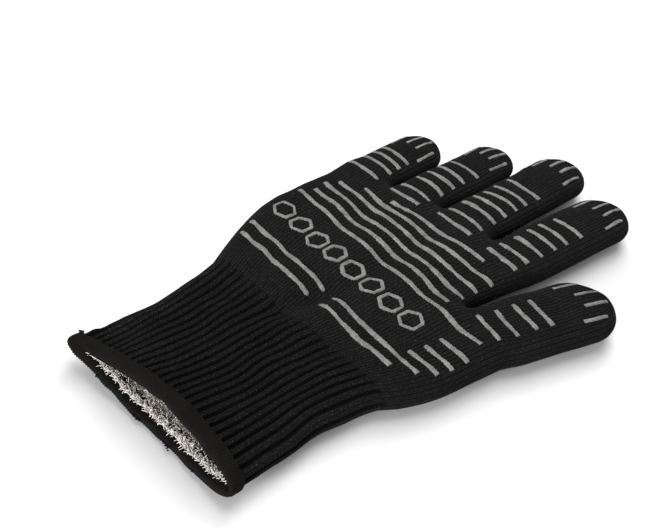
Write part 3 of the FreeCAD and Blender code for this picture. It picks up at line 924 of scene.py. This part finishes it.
def digit_cloth(name, segment, inset):
    """Girth, length and area of one piece of a digit's tube, cut open along one side."""
    width, radius, cut = DIGITS[name]
    width = width - 2 * inset
    top, bottom = levels(0.0, inset)
    girth = section_girth(width, radius - inset, top - bottom)
    if segment == "base":
        root, ahead = root_fold(name)
        start = np.mean([(np.array(corner) - root) @ ahead for corner in ROOT_CORNERS[name]])
        return girth, cut - start, None
    length = digit_reach(name) - inset - cut
    lost_at_round_tip = width * width * (1 - math.pi / 4)
    return girth, length, girth * length - lost_at_round_tip


def tube_cloth(body, inset):
    """The cloth of a piece, worked out from the tube's design and not from its finished mesh."""
    if body == "cuff":
        return hand_cloth(CUFF_LEFT, CUFF_RIGHT, MOUTH_LINE, CUFF_SPLIT, cuff_radius, inset)
    if body == "palm":
        top = np.mean([corner[1] for name in FINGERS for corner in ROOT_CORNERS[name]])
        left = PALM_LEFT + UPPER_LEFT[1:]
        right = PALM_RIGHT + UPPER_RIGHT
        return hand_cloth(left, right, CUFF_SPLIT, top, lambda along: EDGE_RADIUS, inset)
    return digit_cloth(*body.split("_"), inset)


def declare(body, inset):
    """Works out the size of a tube of cloth cut open and laid flat; the result is not used."""
    girth, length, area = tube_cloth(body, inset)
    area = None if area is None else area * MM * MM


def cut_layer(skin, places, layer, inset, materials):
    """Cuts a skin into one piece for each body, in place of the CAD's piece of that layer."""
    normals = point_normals(places, skin.faces)
    for tag, body in enumerate(BODIES):
        ribbed = body == "cuff" and layer == "knit"
        node = "cuff_rib_knit" if ribbed else "%s_%s" % (body, layer)
        slot_name = "terry_lining" if layer == "lining" else "rib_knit" if ribbed else "aramid_knit"
        piece = cut_piece(node + "_cloth", skin, places, normals, tag)
        paint(piece, materials[slot_name])
        attach(piece, body)
        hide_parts(node)
        declare(body, inset)


def make_knit(materials):
    """The outer skin, cut into the palm, the cuff and two pieces for each digit."""
    skin = build_skin(KNIT_GRAIN, 0.0)
    smooth_crotches(skin, RELAXING["knit"])
    normals = point_normals(skin.places, skin.faces)
    crease(skin, normals)
    skin.tip_share = tip_shares(skin)
    skin.calm_normals = point_normals(skin.places, skin.faces)
    skin.relief_places = relief(skin, skin.calm_normals)
    cut_layer(skin, skin.relief_places, "knit", 0.0, materials)
    return skin


def make_lining(materials):
    """The terry lining inside the skin, in the same pieces."""
    skin = build_skin(LINING_GRAIN, LINING_INSET)
    smooth_crotches(skin, RELAXING["lining"])
    crease(skin, point_normals(skin.places, skin.faces))
    normals = point_normals(skin.places, skin.faces)
    lumps = soft_noise(skin.places, 4.2, 21) * 0.3
    skin.places = skin.places + normals * lumps[:, None]
    cut_layer(skin, skin.places, "lining", LINING_INSET, materials)
    return skin


# ---- Silicone grip ----
GRIP_HEIGHT = 0.5
GRIP_SPACING = 0.7
HEXAGON_STEPS = 11      # places along each side
RAISED_SHARE = 0.4      # a strip lies this far from the calm cloth towards its raised wales
LEAST_FACING = 0.25     # cloth steeper than this takes no print
WORN_THROUGH = 0.7      # a strip is left out where it is worn more than this
CREASE_WEAR = (2.9, 4.2)        # depths of crease where a strip starts to narrow and is gone
MOSTLY_ALONG = 0.8      # a strip that runs along its digit is one of the narrow ones at the tip
TIP_STRIP_SHARE = 0.72
# Across one strip: share of its half width, and share of its height.
GRIP_TOP = ((-1.0, -0.2), (-0.9, 0.6), (-0.55, 0.95), (0.0, 1.0), (0.55, 0.95), (0.9, 0.6), (1.0, -0.2))
GRIP_UNDER = ((0.8, -1.6), (0.0, -1.6), (-0.8, -1.6))


def islands(node):
    """The separate solids of a CAD node, each as its plan corners in millimetres."""
    mesh = frame["nodes"][node].data
    places = np.array([v.co for v in mesh.vertices]) / MM
    merged, same = np.unique(places.round(3), axis=0, return_inverse=True)
    same = same.ravel()
    group = np.arange(len(merged))
    for _ in range(40):
        before = group.copy()
        for polygon in mesh.polygons:
            corners = same[list(polygon.vertices)]
            group[corners] = group[corners].min()
        if (group == before).all():
            break
    return [np.unique(merged[group == label][:, :2], axis=0) for label in np.unique(group)]


def strip_line(corners):
    """Middle line and half width of a straight strip, read from its four plan corners."""
    middle = corners.mean(axis=0)
    way = np.linalg.svd(corners - middle)[2][0]
    half_long = np.abs((corners - middle) @ way).max()
    half_wide = np.abs((corners - middle) @ np.array([-way[1], way[0]])).max()
    if abs(way[1]) > MOSTLY_ALONG:
        half_wide *= TIP_STRIP_SHARE
    count = max(4, int(2 * half_long / GRIP_SPACING))
    run = np.linspace(-half_long, half_long, count + 1)
    return middle + run[:, None] * way, half_wide


def hexagon_line(corners):
    """Closed middle line of a hexagon's outline, and half the outline's width."""
    middle = corners.mean(axis=0)
    far = np.linalg.norm(corners - middle, axis=1)
    outer = corners[far > far.mean()] - middle
    outer = outer[np.argsort(np.arctan2(outer[:, 1], outer[:, 0]))]
    outer_radius = far.max()
    inner_radius = far.min()
    ring = outer * (outer_radius + inner_radius) / 2 / outer_radius
    ends = np.roll(ring, -1, axis=0)
    share = np.linspace(0.0, 1.0, HEXAGON_STEPS, endpoint=False)[:, None]
    sides = [start * (1 - share) + end * share for start, end in zip(ring, ends)]
    line = np.concatenate(sides)
    soft = (np.roll(line, 1, axis=0) + np.roll(line, -1, axis=0) + 2 * line) / 4
    return middle + soft, (outer_radius - inner_radius) / 2 * math.cos(math.pi / 6)


class Cloth:
    """Finds the knit's surface straight above or below a plan place."""

    def __init__(self, skin):
        faces = skin.faces.tolist()
        self.calm = BVHTree.FromPolygons(skin.places.tolist(), faces)
        self.raised = BVHTree.FromPolygons(skin.relief_places.tolist(), faces)

    def touch(self, x, y, face):
        start = Vector((x, y, 60.0 * face))
        way = Vector((0.0, 0.0, -1.0 * face))
        calm, normal, _, _ = self.calm.ray_cast(start, way)
        raised, _, _, _ = self.raised.ray_cast(start, way)
        if calm is None or raised is None or abs(normal.z) < LEAST_FACING:
            return None
        place = calm * (1 - RAISED_SHARE) + raised * RAISED_SHARE
        return np.array(place), np.array(normal)


def strip_rings(cloth, line, half_wide, face, closed, seed):
    """Rings of points round a strip that follows the cloth, with slightly uneven edges."""
    rng = np.random.default_rng(seed)
    spread = np.column_stack([line, np.full(len(line), 7.0 * seed)])
    wander = soft_noise(spread, 30.0, 31) * (0.0 if closed else 0.45)
    ahead = np.roll(line, -1, axis=0) - np.roll(line, 1, axis=0)
    if not closed:
        ahead[0] = line[1] - line[0]
        ahead[-1] = line[-1] - line[-2]
    ahead = unit(ahead)
    across = np.column_stack([-ahead[:, 1], ahead[:, 0]])
    uneven = half_wide * (0.95 + 0.13 * soft_noise(spread, 8.0, 32) + 0.12 * soft_noise(spread, 25.0, 34))
    left = uneven * (1 + 0.10 * rng.normal(size=len(line)).clip(-1.5, 1.5))
    right = uneven * (1 + 0.10 * rng.normal(size=len(line)).clip(-1.5, 1.5))
    high = GRIP_HEIGHT * (0.85 + 0.12 * soft_noise(spread, 5.0, 33))
    worn = smoothstep(crease_depth(spread), *CREASE_WEAR) * (face > 0)
    left = left * (1 - worn)
    right = right * (1 - worn)
    runs = [[]]
    for index, place in enumerate(line + across * wander[:, None]):
        ring = []
        middle = cloth.touch(place[0], place[1], face)
        if worn[index] > WORN_THROUGH or middle is None:
            runs.append([])
            continue
        slope = abs(middle[1][2])
        for share, rise in GRIP_TOP + GRIP_UNDER:
            reach = share * slope * (right[index] if share > 0 else left[index])
            spot = place + across[index] * reach
            hit = cloth.touch(spot[0], spot[1], face)
            if hit is None:
                break
            ring.append(hit[0] + hit[1] * (rise * high[index] + 0.12))
        if len(ring) == len(GRIP_TOP + GRIP_UNDER):
            runs[-1].append(ring if face > 0 else ring[::-1])
    return [np.array(rings) for rings in runs if len(rings) > 3]


def strip_mesh(rings, closed, first):
    """Faces of one strip from its rings, with its two ends closed."""
    grid = numbered(rings, first)
    if closed:
        return faces_round(grid, flipped=True, endless=True)
    size = rings.shape[1]
    caps = []
    for ring, order in ((grid[0], 1), (grid[-1], -1)):
        for k in range(size // 2 - 1):
            cap = [ring[k], ring[k + 1], ring[size - 2 - k], ring[size - 1 - k]]
            caps.append(cap[::order])
    return np.concatenate([faces_round(grid, flipped=True), np.array(caps)])


def make_grip(node, cloth, body, face, materials):
    """All strips of one CAD node, laid on the knit."""
    rings_of = []
    faces = []
    first = 0
    closed = "hexagon" in node
    for index, corners in enumerate(islands(node)):
        line, half_wide = hexagon_line(corners) if closed else strip_line(corners)
        for rings in strip_rings(cloth, line, half_wide, face, closed, index + 1):
            faces.append(strip_mesh(rings, closed, first))
            rings_of.append(rings.reshape(-1, 3))
            first += len(rings_of[-1])
    piece = make_object(node + "_print", np.concatenate(rings_of), np.concatenate(faces))
    paint(piece, materials["silicone_grip"])
    attach(piece, body)
    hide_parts(node)


def make_all_grip(cloth, materials):
    for side, face in (("palm", 1), ("back", -1)):
        for group in ("long_stripes", "root_strips", "wrist_stripes", "thumb_base_strips", "hexagon_row"):
            make_grip("%s_side_%s" % (side, group), cloth, "palm", face, materials)
        for name, segment in SEGMENTS:
            node = "%s_%s_%s_strips" % (name, segment, side)
            make_grip(node, cloth, name + "_" + segment, face, materials)


# ---- Mouth of the cuff: rolled hem, inner band, shaggy edge, terry pile ----
HEM_RADIUS = 2.3
HEM_WIDTH = 8.4         # along the cuff
HEM_SIDES = 22
HEM_STEP = 0.26         # between two rings of the hem's roll
HEM_SUNK = 0.7          # the roll's middle lies this far inside the knit's face
HEM_BACK = 1.5          # and this far in from the mouth
WRAP_PITCH = 1.5        # of the overlock thread
WRAP_SLANT = 0.55
WRAP_GROOVE = 0.32
WRAP_RISE = 0.40
BAND_ROWS = 10
FIBRE_LEVELS = 4
FIBRE_SIDES = 3
THREAD_ENDS = 800
TERRY_LOOPS = 13000
PILE_ROWS = 14          # rows of the lining, counted from the mouth, that carry loops
THREADS_FROM = -48.0    # the mouth's left corner is pinched shut, so nothing stands out of it
LOOPS_FROM = -50.0
NUBS_PER_SIZE = 22
# Knots of thread on the lower lip: place across the cuff, size.
NUBS = ((-38.0, 0.9), (-12.0, 1.8), (-9.0, 1.4), (12.0, 1.6), (30.0, 0.9))


def mouth_rows(skin, values, count):
    """The values of a skin's first rows of points, from the mouth inwards."""
    return values[: count * skin.around].reshape(count, skin.around, 3)


def cuff_rows(skin, count):
    """The first rows of the knit, with their outward ways level with the mouth."""
    ways = mouth_rows(skin, skin.calm_normals, count) * (1.0, 0.0, 1.0)
    return mouth_rows(skin, skin.places, count), unit(ways)


def even_loop(places, normals, spacing):
    """A closed loop and its outward ways, sampled at even spacing."""
    closed = np.vstack([places, places[:1]])
    length = np.concatenate([[0.0], np.cumsum(np.linalg.norm(np.diff(closed, axis=0), axis=1))])
    count = int(length[-1] / spacing)
    at = np.linspace(0.0, length[-1], count, endpoint=False)
    ways = np.vstack([normals, normals[:1]])
    loop = np.stack([np.interp(at, length, closed[:, axis]) for axis in range(3)], axis=1)
    out = np.stack([np.interp(at, length, ways[:, axis]) for axis in range(3)], axis=1)
    return loop, unit(out), at


def make_hem(skin, materials):
    """The rolled edge, wrapped all round with overlock thread."""
    places, normals = cuff_rows(skin, 1)
    loop, out, at = even_loop(places[0], normals[0], HEM_STEP)
    loop = loop - out * HEM_SUNK
    loop[:, 1] += HEM_BACK + 0.25 * np.sin(loop[:, 0] / 9.0) + 0.15 * soft_noise(loop, 12.0, 41)
    angle = np.arange(HEM_SIDES) * math.tau / HEM_SIDES
    slant = at[:, None] / WRAP_PITCH + WRAP_SLANT * np.sin(angle)[None, :]
    turns = np.round(at[-1] / WRAP_PITCH) / (at[-1] / WRAP_PITCH)
    wrap = np.abs(np.sin(math.pi * slant * turns)) ** 0.6
    thick = HEM_RADIUS * (1 + 0.05 * soft_noise(loop, 18.0, 42))[:, None]
    radius = thick - WRAP_GROOVE + WRAP_RISE * wrap
    down = np.array([0.0, -1.0, 0.0])
    square = (np.cos(angle) ** 4 + np.sin(angle) ** 4) ** -0.25
    outward = radius * np.cos(angle) * square ** 0.7
    onward = radius * np.sin(angle) * square ** 0.4 * HEM_WIDTH / HEM_RADIUS / 2
    rings = loop[:, None, :] + out[:, None, :] * outward[:, :, None] + down * onward[:, :, None]
    faces = faces_round(numbered(rings), flipped=True, endless=True)
    piece = make_object("hem_overlock_roll", rings.reshape(-1, 3), faces)
    paint(piece, materials["overlock_thread"])
    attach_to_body(piece, "cuff")
    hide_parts("hem_overlock")


def make_inner_band(skin, materials):
    """The folded-in end of the cuff, which covers the lining's edge inside the mouth."""
    places, normals = cuff_rows(skin, BAND_ROWS)
    share = np.linspace(0.0, 1.0, BAND_ROWS)[:, None]
    ripple = 0.25 * soft_noise(places.reshape(-1, 3), 3.0, 43).reshape(BAND_ROWS, -1)
    outer = places - normals * (1.6 + 0.6 * share)[:, :, None]
    inner = places - normals * (2.2 + 1.7 * share ** 0.6 + ripple * share)[:, :, None]
    rows = np.concatenate([outer, inner[::-1]])
    faces = faces_round(numbered(rows), endless=True)
    piece = make_object("cuff_inner_band", rows.reshape(-1, 3), faces)
    paint(piece, materials["overlock_thread"])
    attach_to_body(piece, "cuff")
    return inner[-1], normals[-1]


def fibres(name, roots, ways, bends, radius, slot_name, materials):
    """Short tapering bent threads, each with three sides and closed ends."""
    rise = np.linspace(0.0, 1.0, FIBRE_LEVELS)
    line = roots[:, None, :] + ways[:, None, :] * rise[:, None] + bends[:, None, :] * (rise ** 2)[:, None]
    ahead = unit(ways[:, None, :] + 2 * bends[:, None, :] * rise[:, None])
    helper = np.where(np.abs(ahead[:, :1, 2:]) < 0.8, [0.0, 0.0, 1.0], [1.0, 0.0, 0.0])
    first = unit(np.cross(ahead, helper))
    second = np.cross(ahead, first)
    width = radius[:, None] * (1 - 0.55 * rise ** 2)
    rings = []
    for turn in np.arange(FIBRE_SIDES) * math.tau / FIBRE_SIDES:
        rings.append(line + (first * math.cos(turn) + second * math.sin(turn)) * width[:, :, None])
    rings = np.stack(rings, axis=2)
    grid = numbered(rings)
    ends = np.concatenate([grid[:, 0, ::-1], grid[:, -1]])
    ends = np.column_stack([ends, ends[:, 2]])
    piece = make_object(name, rings.reshape(-1, 3), np.concatenate([faces_round(grid), ends]))
    paint(piece, materials[slot_name])
    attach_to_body(piece, "cuff")


def make_shaggy_edge(border, normals, materials):
    """Black thread ends that stand over the terry inside the mouth."""
    rng = np.random.default_rng(51)
    count = THREAD_ENDS
    pick = rng.choice(np.flatnonzero(border[:, 0] > THREADS_FROM), count)
    roots = border[pick] + normals[pick] * 0.3
    roots[:, 1] += rng.uniform(-1.6, 0.1, count)
    roots[:, 0] += rng.uniform(-0.25, 0.25, count)
    loose = rng.normal(size=(count, 3)) * 0.45
    ways = -normals[pick] * rng.uniform(0.5, 1.2, count)[:, None] + loose
    ways[:, 1] += rng.uniform(0.0, 1.1, count)
    bends = rng.normal(size=(count, 3)) * 0.5
    radius = rng.uniform(0.14, 0.24, count)
    fibres("cuff_thread_ends", roots, ways, bends, radius, "overlock_thread", materials)


def make_pile(skin, materials):
    """Terry loops on the part of the lining that shows in the mouth."""
    rng = np.random.default_rng(52)
    places = mouth_rows(skin, skin.places, PILE_ROWS)
    ways = mouth_rows(skin, point_normals(skin.places, skin.faces), PILE_ROWS)
    count = TERRY_LOOPS
    row = (rng.uniform(0.0, 1.0, count) ** 1.5 * (PILE_ROWS - 1.01)).astype(int)
    column = rng.integers(0, skin.around, count)
    share = rng.uniform(0.0, 1.0, (2, count, 1))
    beside = (column + 1) % skin.around
    roots = places[row, column] * (1 - share[0]) + places[row, beside] * share[0]
    roots = roots * (1 - share[1]) + (places[row + 1, column] * share[1])
    seen = roots[:, 0] > LOOPS_FROM
    roots, row, column = roots[seen], row[seen], column[seen]
    count = len(roots)
    inward = -ways[row, column]
    tall = rng.uniform(0.9, 1.7, count)[:, None]
    lean = inward * tall + rng.normal(size=(count, 3)) * 0.5
    lean[:, 1] -= np.where(row < 3, rng.uniform(0.0, 1.8, count), 0.0)
    bends = rng.normal(size=(count, 3)) * 0.7 - inward * 0.4
    radius = rng.uniform(0.22, 0.36, count)
    fibres("cuff_terry_loops", roots, lean, bends, radius, "terry_lining", materials)


def make_thread_nubs(skin, materials):
    """A few loose knots of thread along the lower lip."""
    rng = np.random.default_rng(53)
    places, normals = cuff_rows(skin, 1)
    roots = []
    ways = []
    for across, size in NUBS:
        lower = np.where(normals[0][:, 2] < -0.5, 0.0, 1e6)
        nearest = np.argmin(np.abs(places[0][:, 0] - across) + lower)
        centre = places[0][nearest] + np.array([0.0, -2.6, 1.0])
        for _ in range(int(NUBS_PER_SIZE * size)):
            way = rng.normal(size=3) * np.array([0.42, 0.32, 0.3]) * size
            roots.append(centre + rng.normal(size=3) * np.array([0.6, 0.3, 0.3]) * size)
            ways.append(way)
    roots = np.array(roots)
    roots[:, 2] = np.maximum(roots[:, 2], 0.8)
    ways = np.array(ways)
    ways[:, 2] = np.abs(ways[:, 2]) * 0.5
    bends = rng.normal(size=roots.shape) * np.array([0.35, 0.3, 0.15])
    radius = rng.uniform(0.3, 0.5, len(roots))
    fibres("hem_thread_nubs", roots, ways, bends, radius, "overlock_thread", materials)


# ---- Scene ----
# In metres, as lights, camera and floor are set directly.
CAMERA_PLACE = (0.2503, -0.3278, 0.3487)
CAMERA_FORWARD = (-0.5276, 0.5655, -0.6339)
CAMERA_UPWARD = (-0.5133, 0.3824, 0.7683)
CAMERA_LENS = 54.5
FLOOR_SIZE = 6.0
FLOOR_DROP = 0.0004     # keeps the floor just clear of the lowest strip
LAMPS = {               # place, aim, size, power
    "back_light": ((-0.5, 0.8, 0.9), (0.0, 0.0, 0.0), 0.8, 11.0),
    "top_light": ((0.0, 0.2, 1.3), (0.0, 0.0, 0.0), 0.9, 7.0),
    "front_light": ((0.12, -1.1, 0.2), (0.0, -0.16, 0.012), 0.35, 14.0),
}


def make_floor():
    bpy.ops.mesh.primitive_grid_add(x_subdivisions=4, y_subdivisions=4, size=FLOOR_SIZE)
    floor = bpy.context.object
    floor.name = "floor"
    floor.location.z = -FLOOR_DROP
    floor.data.materials.append(floor_material())


def area_light(name, place, aim, size, power):
    data = bpy.data.lights.new(name, "AREA")
    data.size = size
    data.energy = power
    lamp = bpy.data.objects.new(name, data)
    bpy.context.scene.collection.objects.link(lamp)
    lamp.location = place
    lamp.rotation_mode = "QUATERNION"
    lamp.rotation_quaternion = (Vector(aim) - Vector(place)).to_track_quat("-Z", "Y")


def make_lights():
    world = bpy.data.worlds.new("studio")
    bpy.context.scene.world = world
    world.use_nodes = True
    background = world.node_tree.nodes["Background"]
    background.inputs["Color"].default_value = (1.0, 1.0, 1.0, 1.0)
    background.inputs["Strength"].default_value = 0.42
    for name, lamp in LAMPS.items():
        area_light(name, *lamp)


def make_camera():
    """The photograph's viewing angle: from above the cuff, on the thumb's side."""
    data = bpy.data.cameras.new("camera")
    data.sensor_width = 36.0
    data.lens = CAMERA_LENS
    camera = bpy.data.objects.new("camera", data)
    bpy.context.scene.collection.objects.link(camera)
    forward = Vector(CAMERA_FORWARD).normalized()
    right = forward.cross(Vector(CAMERA_UPWARD)).normalized()
    upward = right.cross(forward).normalized()
    turn = Matrix((right, upward, -forward)).transposed().to_4x4()
    camera.matrix_world = Matrix.Translation(CAMERA_PLACE) @ turn
    bpy.context.scene.camera = camera
    bpy.context.scene.view_settings.view_transform = "Standard"


def main():
    hand_yarn = ((0.0028, 0.0028, 0.003, 1), (0.021, 0.0204, 0.0204, 1))
    rib_yarn = ((0.0026, 0.0026, 0.0028, 1), (0.014, 0.0136, 0.0136, 1))
    materials = {
        "aramid_knit": knit_material("aramid_yarn", *hand_yarn, 0.0006, False),
        "rib_knit": knit_material("rib_yarn", *rib_yarn, 0.0005, True),
        "terry_lining": terry_material(),
        "overlock_thread": thread_material(),
        "silicone_grip": silicone_material(),
    }
    skin = make_knit(materials)
    lining_skin = make_lining(materials)
    make_all_grip(Cloth(skin), materials)
    make_hem(skin, materials)
    border, outward = make_inner_band(skin, materials)
    make_shaggy_edge(border, outward, materials)
    make_pile(lining_skin, materials)
    make_thread_nubs(skin, materials)
    make_floor()
    make_lights()
    make_camera()


main()
